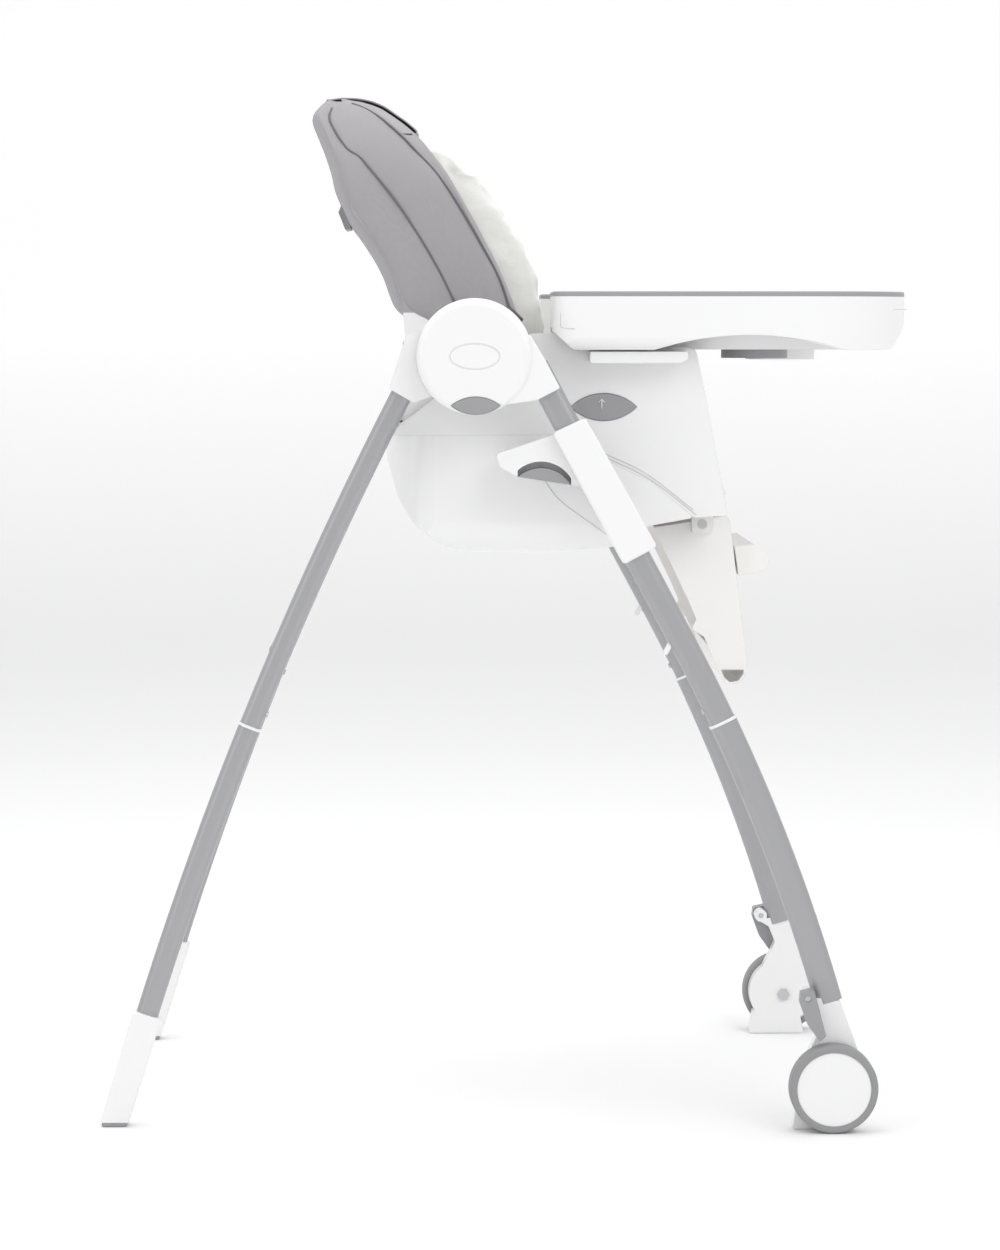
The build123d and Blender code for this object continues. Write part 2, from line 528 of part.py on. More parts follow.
def make_backrest():
    """A bucket-shaped shell that reclines between the arms, its fabric cover and its cushion."""
    outer = profile(COVER, COVER_ROUND)
    core = offset(outer, -COVER_THICK - GAP)
    cheek = profile(CHEEK, CHEEK_ROUND)
    hollow = profile(HOLLOW, HOLLOW_ROUND)
    grip_room = across(profile(GRIP_ROOM, 4), GRIP_ROOM_HALF)
    shell = across(core, SHELL_HALF) & back_view(SHELL_HALF)
    shell += across(cheek, SHELL_HALF)
    room = across(offset(core + cheek, -SHELL), SHELL_HALF - SHELL)
    room &= back_view(SHELL_HALF - SHELL)
    room -= across(offset(hollow, SHELL), PAD_HALF + 1 + SHELL)
    shell -= across(hollow, PAD_HALF + 1) + room
    boss = rod(BACK_PIVOT, 2 * PIN_RADIUS, (SHELL_HALF - 19, SHELL_HALF))
    shell += boss + mirrored(boss)
    shell -= rod(BACK_PIVOT, PIN_RADIUS + PIN_FIT, (-SHELL_HALF, SHELL_HALF))
    save("backrest_shell", shell - grip_room)

    inner_half = SHELL_HALF + GAP
    cover = across(outer, COVER_HALF) & back_view(COVER_HALF)
    cover -= across(offset(outer, -COVER_THICK), inner_half) & back_view(inner_half)
    cover -= across(hollow, PAD_HALF + 1) + across(cheek, inner_half) + grip_room
    save("back_cover", cover.solids().sort_by(SortBy.VOLUME)[-1])

    pad = across(profile(PAD, PAD_ROUND), PAD_HALF) & back_view(PAD_HALF)
    save("back_pad", pad - across(profile(PAD_FACE, PAD_FACE_ROUND), PAD_HOLLOW))

    strap = make_face(offset(Polyline(*SHOULDER_STRAP), STRAP_THICK / 2))
    strap = Pos(-STRAP_THICK / 2 - GAP, 0.2) * strap
    save("shoulder_straps", both(slab(strap, STRAP_X)))
    save("recline_handle", across(profile(GRIP, 1), GRIP_HALF))


# ---------------------------------------------------------------- leg rest
def make_leg_rest():
    """A channel-shaped calf support with a footrest that slides in its front slot."""
    outer = profile(LEG_REST, LEG_REST_ROUND)
    inside = offset(outer, -SHELL)
    low = min(z for y, z in LEG_REST)
    body = across(outer, LEG_HALF) & front_view(LEG_HALF, (low, 700), (LEG_ROUND_LOW, 1))
    room = across(inside + Pos(30, -4) * inside, LEG_HALF - SHELL)
    room &= front_view(LEG_HALF - SHELL, (low - 10, 700), (LEG_ROUND_LOW, 1))
    body -= room
    boss = rod(LEG_PIVOT, 3 * SHELL, (LEG_HALF - 12, LEG_HALF))
    body += boss + mirrored(boss)
    body -= rod(LEG_PIVOT, LEG_PIN + PIN_FIT, (-LEG_HALF, LEG_HALF))
    save("leg_rest", body - across(profile(LEG_SLOT, 2), FOOTREST_SLOT_HALF))

    rear, front = FOOTREST[0][0], FOOTREST[3][0]
    corners = [(-FOOTREST_HALF, rear + 10), (FOOTREST_HALF, rear + 10),
               (FOOTREST_HALF, front), (-FOOTREST_HALF, front)]
    plate = across(profile(FOOTREST, 2), FOOTREST_HALF)
    plate &= upright(profile(corners, [1, 1, 24, 24]), (500, 600))
    stem = across(profile(FOOTREST_STEM, 0.5), FOOTREST_SLOT_HALF - 1)
    head = across(profile(FOOTREST_HEAD, 0.5), FOOTREST_HEAD_HALF)
    save("footrest", plate + stem + head)


# ---------------------------------------------------------------- tray
def tray_outline(inset=0.0):
    """Seen from above: a broad tray with a round front and a hollow for the child's waist."""
    half, rear, front = TRAY_HALF - inset, TRAY_REAR - inset, TRAY_FRONT + inset
    rear_round, front_round = TRAY_CORNERS[0] - inset, TRAY_CORNERS[1] - inset
    corners = [(-half, rear), (half, rear), (half, front), (-half, front)]
    plan = profile(corners, [rear_round, rear_round, front_round, front_round])
    waist, reach = WAIST_HALF + inset, WAIST_FRONT - inset
    corners = [(-waist, BEYOND), (waist, BEYOND), (waist, reach), (-waist, reach)]
    return plan - profile(corners, [1, 1, WAIST_ROUND, WAIST_ROUND])


def cup_solid(place, bottom, radius, top):
    """A round well or the space in it, from its bottom up to a height."""
    return upright(Pos(*place) * Circle(radius), (bottom, top))


def tray_cuts():
    """The arch under each side of the tray and the groove that straddles each arm."""
    start, crown, end = TRAY_ARCH
    low = TRAY_Z[0]
    under = Polyline((end, low), (end, low - 15), (start, low - 15), (start, low))
    arch = make_face(ThreePointArc((start, low), (crown, ARCH_CROWN), (end, low)) + under)
    cuts = slab(arch, (WELL_HALF + SHELL, TRAY_HALF))
    cuts += slab(profile(ARM_CHANNEL, 2), ARM_CHANNEL_X)
    return cuts + mirrored(cuts)


def make_tray():
    """Tray body with channels for the arms, the lift-out insert and the release lever."""
    low, top = TRAY_Z
    body = upright(tray_outline(), (low - 1, top))
    body &= front_view(TRAY_HALF + 0.5, (low, top + BEYOND), (TRAY_EDGE, 1))
    body &= across(profile(TRAY_SIDE, TRAY_SIDE_ROUND), TRAY_HALF + 1)
    body -= upright(tray_outline(SHELL), (TRAY_DECK, top))
    well = tray_outline(TRAY_EDGE) & Rectangle(2 * WELL_HALF, 900)
    body -= upright(well, (low + SHELL, TRAY_DECK)) + tray_cuts()
    through_cup, whole_cup = CUPS
    body -= cup_solid(through_cup, low - 10, CUP_RADIUS + 1, low + 10)
    body += cup_solid(whole_cup, CUP_BOTTOM[0] - SHELL, CUP_RADIUS + SHELL, low + 4)
    body -= cup_solid(whole_cup, CUP_BOTTOM[0], CUP_RADIUS + 1, top)
    save("tray_body", body - across(profile(LEVER_SLOT, 0.5), LEVER_HALF + GAP))

    rim = fillet(upright(tray_outline(), RIM_Z).faces().sort_by(Axis.Z)[-1].edges(), RIM_EDGE)
    rim -= upright(tray_outline(RIM_WIDTH), (RIM_Z[0] - 1, RIM_Z[1] + 1))
    dish = upright(tray_outline(RIM_WIDTH - DISH_THICK), (DISH_Z, RIM_Z[1] - 1))
    dish -= upright(tray_outline(RIM_WIDTH), (DISH_Z + DISH_THICK, RIM_Z[1]))
    for place, bottom in zip(CUPS, CUP_BOTTOM):
        dish += cup_solid(place, bottom, CUP_RADIUS, DISH_Z + 1)
    for place, bottom in zip(CUPS, CUP_BOTTOM):
        dish -= cup_solid(place, bottom + DISH_THICK, CUP_RADIUS - DISH_THICK, RIM_Z[1])
    save("tray_insert", rim + dish)
    save("tray_lever", across(profile(TRAY_LEVER, 1), LEVER_HALF))


make_legs()
make_hubs()
make_forks()
make_wheels()
make_feet()
make_carriages()
make_seat()
make_harness_on_seat()
make_backrest()
make_leg_rest()
make_tray()
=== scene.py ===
import json
import math

import bmesh
import bpy
from mathutils import Matrix, Vector
from mathutils.noise import fractal


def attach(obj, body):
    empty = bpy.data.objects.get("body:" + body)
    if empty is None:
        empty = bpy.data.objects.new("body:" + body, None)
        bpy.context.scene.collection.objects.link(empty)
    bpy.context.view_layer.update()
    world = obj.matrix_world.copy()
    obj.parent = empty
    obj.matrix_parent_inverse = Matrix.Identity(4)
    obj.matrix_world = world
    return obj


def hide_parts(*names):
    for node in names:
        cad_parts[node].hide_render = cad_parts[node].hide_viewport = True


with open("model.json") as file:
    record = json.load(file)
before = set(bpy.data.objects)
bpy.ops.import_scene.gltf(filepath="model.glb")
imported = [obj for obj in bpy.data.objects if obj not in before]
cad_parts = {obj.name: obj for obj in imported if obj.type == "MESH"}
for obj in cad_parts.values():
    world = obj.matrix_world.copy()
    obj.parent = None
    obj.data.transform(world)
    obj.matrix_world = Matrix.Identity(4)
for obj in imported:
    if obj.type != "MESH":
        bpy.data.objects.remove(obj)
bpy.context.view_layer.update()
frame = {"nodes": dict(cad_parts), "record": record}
NODES = frame["nodes"]


# ---------------------------------------------------------------- camera, floor and light
CAMERA_PLACE = (-4.1075, 0.0815, 0.8017)
CAMERA_PITCH = 4.427             # degrees below level
CAMERA_YAW = -1.098              # degrees from straight across the chair
CAMERA_LENS = 112.35
SENSOR_WIDTH = 36.0
FAR_CLIP = 50.0


def make_camera():
    """A long lens from the chair's right-hand side, a little behind its middle."""
    pitch, yaw = math.radians(CAMERA_PITCH), math.radians(CAMERA_YAW)
    ahead = Vector((
        math.cos(pitch) * math.cos(yaw),
        math.cos(pitch) * math.sin(yaw),
        -math.sin(pitch),
    ))
    right = Vector((math.sin(yaw), -math.cos(yaw), 0))
    up = right.cross(ahead)
    data = bpy.data.cameras.new("camera")
    data.lens = CAMERA_LENS
    data.sensor_width = SENSOR_WIDTH
    data.clip_end = FAR_CLIP
    camera = bpy.data.objects.new("camera", data)
    turn = Matrix((right, up, -ahead)).transposed()
    camera.matrix_world = Matrix.Translation(CAMERA_PLACE) @ turn.to_4x4()
    bpy.context.scene.collection.objects.link(camera)
    bpy.context.scene.camera = camera


def link(mesh, name):
    obj = bpy.data.objects.new(name, mesh)
    bpy.context.scene.collection.objects.link(obj)
    return obj


STAGE_HALF_WIDTH = 8.0
STAGE_BEND_X = 5.5               # the backdrop stands beyond every view's camera
STAGE_BEND_RADIUS = 1.5
STAGE_BEND_STEPS = 10
STAGE_HEIGHT = 8.0
FLOOR_GAP = 0.0005               # the floor lies this far under the wheels and feet
BACKDROP_GLOW = 0.19             # keeps the far backdrop nearly as white as the floor


def glow_with_height(mat):
    """The backdrop glows a little where it rises, because the lamps don't reach it."""
    tree = mat.node_tree
    split = node(tree, "ShaderNodeSeparateXYZ")
    tree.links.new(coordinates(tree), split.inputs["Vector"])
    glow = remap(tree, split.outputs["Z"], 0.0, BACKDROP_GLOW, end=STAGE_BEND_RADIUS / 2)
    shader = tree.nodes["Principled BSDF"]
    shader.inputs["Emission Color"].default_value = (1.0, 1.0, 1.0, 1.0)
    tree.links.new(glow, shader.inputs["Emission Strength"])


def stage_line():
    """The stage from the side (X, Z): a level floor, a bend and an upright backdrop."""
    line = [(-STAGE_HALF_WIDTH, 0.0), (STAGE_BEND_X, 0.0)]
    for step in range(1, STAGE_BEND_STEPS + 1):
        turn = math.radians(90 / STAGE_BEND_STEPS * step)
        x = STAGE_BEND_X + STAGE_BEND_RADIUS * math.sin(turn)
        line.append((x, STAGE_BEND_RADIUS * (1 - math.cos(turn))))
    return line + [(STAGE_BEND_X + STAGE_BEND_RADIUS, STAGE_HEIGHT)]


def make_stage():
    """A pale floor that curves up into a backdrop on the far side."""
    mesh = bpy.data.meshes.new("floor")
    bm = bmesh.new()
    line = stage_line()
    rows = [[bm.verts.new((x, y, z - FLOOR_GAP)) for x, z in line]
            for y in (-STAGE_HALF_WIDTH, STAGE_HALF_WIDTH)]
    for i in range(len(line) - 1):
        bm.faces.new((rows[0][i], rows[0][i + 1], rows[1][i + 1], rows[1][i]))
    bm.to_mesh(mesh)
    bm.free()
    mesh.shade_smooth()
    floor = link(mesh, "floor")
    paint = floor_paint()
    glow_with_height(paint)
    floor.data.materials.append(paint)


WORLD_STRENGTH = 0.79
LAMPS = [                        # name, place, aim, width and height, watts
    ("key", (-2.6, -1.6, 2.6), (0, 0, 0.6), (2.4, 1.6), 30),
    ("top", (0.2, 0.3, 3.2), (0, 0, 0.4), (3.0, 3.0), 43),
    ("fill", (-2.0, 2.8, 1.4), (0, 0, 0.6), (1.6, 2.2), 10),
]


def area_light(name, location, target, size, power):
    data = bpy.data.lights.new(name, "AREA")
    data.energy = power
    data.shape = "RECTANGLE"
    data.size, data.size_y = size
    light = bpy.data.objects.new(name, data)
    light.location = location
    aim = Vector(target) - Vector(location)
    light.rotation_euler = aim.to_track_quat("-Z", "Y").to_euler()
    bpy.context.scene.collection.objects.link(light)


def make_light():
    """Soft white light from all round, a little stronger from above and from the camera's side."""
    world = bpy.data.worlds.new("studio")
    bpy.context.scene.world = world
    world.use_nodes = True
    sky = world.node_tree.nodes["Background"]
    sky.inputs["Color"].default_value = (1.0, 1.0, 1.0, 1.0)
    sky.inputs["Strength"].default_value = WORLD_STRENGTH
    for lamp in LAMPS:
        area_light(*lamp)
    bpy.context.scene.view_settings.view_transform = "Standard"


# ---------------------------------------------------------------- materials
def new_material(name, colour, roughness, metallic=0.0):
    mat = bpy.data.materials.new(name)
    mat.use_nodes = True
    mat.diffuse_color = (*colour, 1.0)
    tree = mat.node_tree
    shader = tree.nodes["Principled BSDF"]
    shader.inputs["Base Color"].default_value = (*colour, 1.0)
    shader.inputs["Roughness"].default_value = roughness
    shader.inputs["Metallic"].default_value = metallic
    return mat, tree, shader


def node(tree, kind, **values):
    """A shader node; names that match an input set that input, the rest are settings."""
    made = tree.nodes.new(kind)
    for key, value in values.items():
        label = key.replace("_", " ")
        if label in made.inputs:
            made.inputs[label].default_value = value
        else:
            setattr(made, key, value)
    return made


def coordinates(tree):
    return tree.nodes.new("ShaderNodeTexCoord").outputs["Object"]


def noise(tree, scale, detail=3.0, roughness=0.5):
    made = node(tree, "ShaderNodeTexNoise", Scale=scale, Detail=detail, Roughness=roughness)
    tree.links.new(coordinates(tree), made.inputs["Vector"])
    return made.outputs["Fac"]


def remap(tree, source, low, high, start=0.0, end=1.0):
    made = node(tree, "ShaderNodeMapRange")
    for label, value in (("From Min", start), ("From Max", end), ("To Min", low), ("To Max", high)):
        made.inputs[label].default_value = value
    tree.links.new(source, made.inputs["Value"])
    return made.outputs["Result"]


def mix_colour(tree, factor, first, second):
    made = node(tree, "ShaderNodeMix", data_type="RGBA")
    made.inputs["A"].default_value = (*first, 1.0)
    made.inputs["B"].default_value = (*second, 1.0)
    tree.links.new(factor, made.inputs["Factor"])
    return made.outputs["Result"]


def bump(tree, height, strength, distance, before=None):
    made = node(tree, "ShaderNodeBump", Strength=strength, Distance=distance)
    tree.links.new(height, made.inputs["Height"])
    if before is not None:
        tree.links.new(before, made.inputs["Normal"])
    return made.outputs["Normal"]


def shade(colour, factor):
    return tuple(min(1.0, c * factor) for c in colour)


WHITE = (0.83, 0.83, 0.83)
GREY_CLOTH = (0.36, 0.35, 0.365)
EDGE_EASE = 0.0011               # radius that softens hard moulded edges
LINING_Z = 0.812                 # the backrest's shell is lined with cloth above this


def eased_edges(tree):
    return node(tree, "ShaderNodeBevel", samples=4, Radius=EDGE_EASE).outputs["Normal"]


def moulded_plastic(name, colour, roughness, grain=0.00012, coat=0.0):
    """Injection-moulded plastic: eased edges, a fine grain and slightly uneven gloss."""
    mat, tree, shader = new_material(name, colour, roughness)
    shader.inputs["Coat Weight"].default_value = coat
    shader.inputs["Coat Roughness"].default_value = 0.12
    tint = mix_colour(tree, noise(tree, 9.0), shade(colour, 0.98), shade(colour, 1.015))
    tree.links.new(tint, shader.inputs["Base Color"])
    gloss = remap(tree, noise(tree, 40.0), roughness * 0.85, roughness * 1.2)
    tree.links.new(gloss, shader.inputs["Roughness"])
    normal = bump(tree, noise(tree, 9.0), 0.12, 0.001, eased_edges(tree))
    tree.links.new(bump(tree, noise(tree, 900.0, 2.0), 0.3, grain, normal), shader.inputs["Normal"])
    return mat


def floor_paint():
    mat, tree, shader = new_material("floor_paint", (0.93, 0.93, 0.935), 0.6)
    tint = mix_colour(tree, noise(tree, 1.5), (0.925, 0.925, 0.93), (0.94, 0.94, 0.945))
    tree.links.new(tint, shader.inputs["Base Color"])
    return mat


def lined_shell(name):
    """The backrest's shell: plain plastic below, covered in grey cloth above a line."""
    mat, tree, shader = new_material(name, WHITE, 0.45)
    height = tree.nodes.new("ShaderNodeSeparateXYZ")
    tree.links.new(coordinates(tree), height.inputs["Vector"])
    above = remap(tree, height.outputs["Z"], 0.0, 1.0, LINING_Z - 0.0005, LINING_Z + 0.0005)
    tree.links.new(mix_colour(tree, above, WHITE, GREY_CLOTH), shader.inputs["Base Color"])
    normal = bump(tree, noise(tree, 700.0), 0.3, 0.0002, eased_edges(tree))
    tree.links.new(normal, shader.inputs["Normal"])
    return mat


def painted_steel(name, colour, metallic=0.3):
    """Satin paint on tube: orange peel and a faint metallic fleck."""
    mat, tree, shader = new_material(name, colour, 0.32, metallic)
    shader.inputs["Coat Weight"].default_value = 0.3
    shader.inputs["Coat Roughness"].default_value = 0.22
    tint = mix_colour(tree, noise(tree, 1500.0, 1.0), shade(colour, 0.95), shade(colour, 1.05))
    tree.links.new(tint, shader.inputs["Base Color"])
    gloss = remap(tree, noise(tree, 60.0), 0.28, 0.38)
    tree.links.new(gloss, shader.inputs["Roughness"])
    tree.links.new(bump(tree, noise(tree, 260.0), 0.1, 0.0003), shader.inputs["Normal"])
    return mat


def wave(tree, direction, scale, distortion=0.0):
    """Even ridges across one axis of the piece."""
    made = node(tree, "ShaderNodeTexWave", Scale=scale, Distortion=distortion, Detail=0.0)
    made.wave_type = "BANDS"
    made.bands_direction = direction
    made.wave_profile = "SIN"
    tree.links.new(coordinates(tree), made.inputs["Vector"])
    return made.outputs["Fac"]


def combine(tree, operation, first, second):
    made = node(tree, "ShaderNodeMath", operation=operation)
    tree.links.new(first, made.inputs[0])
    tree.links.new(second, made.inputs[1])
    return made.outputs["Value"]


THREAD_RELIEF = 0.00012          # height of the weave
THREAD_WANDER = 0.6


def woven(name, colour, thread_scale, sheen, roughness, fold=0.0, mottle=0.04):
    """Cloth: crossing threads, soft sheen, mottled dye and optional fine creases."""
    mat, tree, shader = new_material(name, colour, roughness)
    shader.inputs["Sheen Weight"].default_value = sheen
    shader.inputs["Sheen Roughness"].default_value = 0.5
    shader.inputs["Specular IOR Level"].default_value = 0.25
    warp, along_x, along_y = [wave(tree, axis, thread_scale, THREAD_WANDER) for axis in "ZXY"]
    weft = combine(tree, "ADD", along_x, along_y)
    weave = combine(tree, "ADD", combine(tree, "MULTIPLY", warp, weft), weft)
    fleck = combine(tree, "MULTIPLY", weave, noise(tree, 320.0, 2.0))
    tint = mix_colour(tree, fleck, shade(colour, 1.0 - mottle), shade(colour, 1.0 + mottle))
    tree.links.new(tint, shader.inputs["Base Color"])
    gloss = remap(tree, noise(tree, 25.0), roughness * 0.92, min(1.0, roughness * 1.08))
    tree.links.new(gloss, shader.inputs["Roughness"])
    normal = bump(tree, noise(tree, 34.0, 5.0, 0.55), 0.35, fold) if fold else None
    tree.links.new(bump(tree, weave, 0.4, THREAD_RELIEF, normal), shader.inputs["Normal"])
    return mat


MATERIALS = {}


def make_materials():
    """One material for each slot, and others for piping, thread, seam lines and painted crease shade,
    and the lined shell.
    """
    MATERIALS["frame_steel"] = painted_steel("frame_steel", (0.36, 0.36, 0.375))
    MATERIALS["white_plastic"] = moulded_plastic("white_plastic", WHITE, 0.3, coat=0.25)
    MATERIALS["warm_plastic"] = moulded_plastic("warm_plastic", (0.85, 0.835, 0.815), 0.42)
    MATERIALS["grey_plastic"] = moulded_plastic("grey_plastic", (0.31, 0.31, 0.32), 0.42)
    MATERIALS["tyre_rubber"] = moulded_plastic("tyre_rubber", (0.28, 0.28, 0.285), 0.6, 0.0003)
    MATERIALS["pin_steel"] = painted_steel("pin_steel", (0.55, 0.55, 0.56), 0.7)
    MATERIALS["grey_fabric"] = woven("grey_fabric", GREY_CLOTH, 900.0, 0.15, 0.75, 0.0014, 0.02)
    MATERIALS["cream_fabric"] = woven("cream_fabric", (0.87, 0.87, 0.84), 700.0, 0.12, 0.6, 0.0028, 0.02)
    MATERIALS["webbing"] = woven("webbing", (0.3, 0.29, 0.29), 420.0, 0.1, 0.8)
    MATERIALS["dark_piping"] = woven("dark_piping", (0.16, 0.155, 0.165), 1100.0, 0.1, 0.7)
    MATERIALS["thread"] = woven("thread", (0.5, 0.49, 0.49), 2200.0, 0.1, 0.7)
    MATERIALS["lined_shell"] = lined_shell("lined_shell")
    MATERIALS["shadow_line"] = moulded_plastic("shadow_line", (0.66, 0.66, 0.66), 0.6)


def paint_nodes():
    """Every CAD node gets the material of its slot."""
    for part in frame["record"]["subparts"]:
        obj = NODES[part["node"]]
        finish = MATERIALS[part["material_slot"]]
        if not obj.material_slots:
            obj.data.materials.append(finish)
        for slot in obj.material_slots:
            slot.material = finish
    NODES["backrest_shell"].material_slots[0].material = MATERIALS["lined_shell"]


# ---------------------------------------------------------------- mesh helpers
SPLINE_STEPS = 8
MERGE_DISTANCE = 1e-5
SLIVER_LENGTH = 1e-6


def side_curve(points, count):
    """A smooth line through side-view points (Y, Z in mm), sampled evenly, in metres."""
    pts = [Vector((y, z)) / 1000 for y, z in points]
    pts = [2 * pts[0] - pts[1]] + pts + [2 * pts[-1] - pts[-2]]
    fine = []
    for a, b, c, d in zip(pts, pts[1:], pts[2:], pts[3:]):
        for k in range(SPLINE_STEPS):
            t = k / SPLINE_STEPS
            fine.append(0.5 * (
                2 * b + (c - a) * t + (2 * a - 5 * b + 4 * c - d) * t ** 2
                + (3 * b - a - 3 * c + d) * t ** 3
            ))
    fine.append(pts[-2])
    return even(fine, count)


def even(points, count):
    """The same line with evenly spaced points."""
    reach = [0.0]
    for a, b in zip(points, points[1:]):
        reach.append(reach[-1] + (b - a).length)
    out, i = [], 0
    for k in range(count):
        at = reach[-1] * k / (count - 1)
        while i < len(points) - 2 and reach[i + 1] < at:
            i += 1
        share = (at - reach[i]) / max(reach[i + 1] - reach[i], 1e-9)
        out.append(points[i].lerp(points[i + 1], min(1.0, share)))
    return out


def mesh_from(name, verts, faces):
    mesh = bpy.data.meshes.new(name)
    mesh.from_pydata([tuple(v) for v in verts], [], faces)
    mesh.update()
    bm = bmesh.new()
    bm.from_mesh(mesh)
    bmesh.ops.remove_doubles(bm, verts=bm.verts, dist=MERGE_DISTANCE)
    bmesh.ops.dissolve_degenerate(bm, edges=bm.edges, dist=SLIVER_LENGTH)
    bmesh.ops.recalc_face_normals(bm, faces=bm.faces)
    bm.to_mesh(mesh)
    bm.free()
    mesh.shade_smooth()
    return link(mesh, name)


def grid(name, rows, closed=False):
    """A sheet of quads over rows of points; closed joins each row's ends."""
    wide = len(rows[0])
    faces = []
    for i in range(len(rows) - 1):
        for j in range(wide if closed else wide - 1):
            k = (j + 1) % wide
            faces.append((i * wide + j, i * wide + k, (i + 1) * wide + k, (i + 1) * wide + j))
    return mesh_from(name, [p for row in rows for p in row], faces)


def direction(points, i):
    """Which way a line runs at its point i."""
    return (points[min(i + 1, len(points) - 1)] - points[max(i - 1, 0)]).normalized()


def frames_along(points):
    """Each point of a line with its direction and a steady sideways vector."""
    out = []
    side = None
    for i, p in enumerate(points):
        ahead = direction(points, i)
        if side is None:
            side = ahead.orthogonal().normalized()
        side = (side - ahead * side.dot(ahead)).normalized()
        out.append((p, ahead, side))
    return out


def round_angles(sides):
    return [2 * math.pi * k / sides for k in range(sides)]


def cord_mesh(name, points, radius, sides=8):
    """A thin round line, such as piping, with closed ends."""
    rows = []
    for p, ahead, side in frames_along(points):
        up = ahead.cross(side)
        rows.append([p + radius * (math.cos(a) * side + math.sin(a) * up) for a in round_angles(sides)])
    rows = [[points[0]] * sides] + rows + [[points[-1]] * sides]
    return grid(name, rows, closed=True)


def join(name, objs):
    """Several meshes as one piece."""
    bm = bmesh.new()
    for obj in objs:
        bm.from_mesh(obj.data)
    mesh = bpy.data.meshes.new(name)
    bm.to_mesh(mesh)
    bm.free()
    for obj in objs:
        bpy.data.objects.remove(obj)
    mesh.shade_smooth()
    return link(mesh, name)


def apply_modifiers(obj):
    """The piece's mesh as its modifiers show it."""
    graph = bpy.context.evaluated_depsgraph_get()
    mesh = bpy.data.meshes.new_from_object(obj.evaluated_get(graph))
    obj.modifiers.clear()
    obj.data = mesh
    obj.data.shade_smooth()


def push(obj, amount):
    """Moves each point along its normal by amount(point)."""
    mesh = obj.data
    moves = [(vert.co.copy(), vert.normal.copy()) for vert in mesh.vertices]
    flat = [value for co, normal in moves for value in co + normal * amount(co)]
    mesh.vertices.foreach_set("co", flat)
    mesh.update()


def thicken(obj, thickness):
    """Gives a sheet a thickness on its inner side."""
    solid = obj.modifiers.new("thickness", "SOLIDIFY")
    solid.thickness = thickness
    solid.offset = -1.0
    apply_modifiers(obj)


def subdivide(obj, levels=1):
    sub = obj.modifiers.new("subdivide", "SUBSURF")
    sub.levels = levels
    apply_modifiers(obj)


def place(obj, body, material, nodes=()):
    """The piece's body, finish and the CAD nodes it stands for."""
    obj.data.materials.clear()
    obj.data.materials.append(MATERIALS[material])
    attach(obj, body)
    if nodes:
        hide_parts(*nodes)


# ---------------------------------------------------------------- backrest cover
ROWS = 64                        # along the cover's height
FRONT_EDGE = [(-16, 805), (-1, 842), (18, 881), (44, 931), (78, 980), (90, 994), (104, 1007),
              (126, 1020), (144, 1026), (160, 1029)]
FRONT_SEAM = [(-4, 816), (6, 845), (22, 876), (44, 914), (68, 950), (89, 973), (106, 991),
              (128, 1010), (147, 1021), (164, 1026)]
REAR_SEAM = [(52, 823), (65, 850), (85, 885), (111, 924), (139, 959), (148, 969), (160, 977),
             (172, 995), (178, 1010), (172, 1026)]
REAR_EDGE = [(80, 801), (104, 816), (119, 853), (136, 882), (152, 905), (166, 937), (172, 961),
             (184, 992), (191, 1012), (178, 1028)]
HOOD = [(140, 990.5), (112, 990), (92, 991), (88, 995), (96, 1003.5), (106, 1011), (130, 1025.5),
        (158, 1031.3), (182, 1029)]
RIM_X, SEAM_X, REAR_X = 0.1535, 0.1705, 0.163     # half widths of the cover's edges
INSIDE_RIM = [(0.42, 0.1455), (0.2, 0.1455), (0.06, 0.147)]         # share of the way, half width
SIDE_PANEL = [(0.12, 0.1735), (0.5, 0.1745), (0.88, 0.1728)]
REAR_PANEL = [(0.5, 0.1722), (0.85, 0.1715)]
REAR_BULGE = [(0.003, 0.145), (0.005, 0.1), (0.007, 0.05)]          # how far back, half width
MIDDLE_BULGE = 0.008
COVER_THICKNESS = 0.0016
PIPING_RADIUS = 0.0011
HEM_RADIUS = 0.0022
HOOD_HALF = 0.15
HOOD_COLUMNS = 12                # on each side of the middle
TOP_ROUND, FLAT_TOP, ARCH_FROM, FULL_HALF = 0.118, 0.056, 0.922, 0.174


def narrowing(z):
    """How the backrest's half width shrinks towards its round top."""
    rise = min(max(0.0, z - ARCH_FROM), TOP_ROUND)
    return (FLAT_TOP + math.sqrt(TOP_ROUND ** 2 - rise ** 2)) / FULL_HALF


def at_width(point, x):
    """A side-view point set at a half width, drawn in where the backrest narrows."""
    return Vector((x * narrowing(point.y), point.x, point.y))


def between(a, b, share):
    return a.lerp(b, share)


def cover_row(front, seam, piping, rear):
    """One row of the cover, from inside its left front rim round the back to the right one."""
    row = [at_width(between(front, rear, share), x) for share, x in INSIDE_RIM]
    row.append(at_width(front, RIM_X))
    row.append(at_width(between(front, seam, 0.45), 0.164))
    row.append(at_width(seam, SEAM_X))
    row += [at_width(between(seam, piping, share), x) for share, x in SIDE_PANEL]
    row.append(at_width(piping, SEAM_X))
    row += [at_width(between(piping, rear, share), x) for share, x in REAR_PANEL]
    row.append(at_width(rear, REAR_X))
    row += [at_width(rear + Vector((bulge, 0.0)), x) for bulge, x in REAR_BULGE]
    middle = at_width(rear + Vector((MIDDLE_BULGE, 0.0)), 0.0)
    return row + [middle] + [Vector((-p.x, p.y, p.z)) for p in reversed(row)]


def crease(obj, depth, scale, stretch=(1.0, 1.0, 1.0)):
    """Soft uneven folds, as cloth has where it is pulled over a form."""
    def amount(co):
        spot = Vector((co.x * stretch[0], co.y * stretch[1], co.z * stretch[2])) * scale
        return depth * fractal(spot, 0.8, 2.1, 3)

    push(obj, amount)


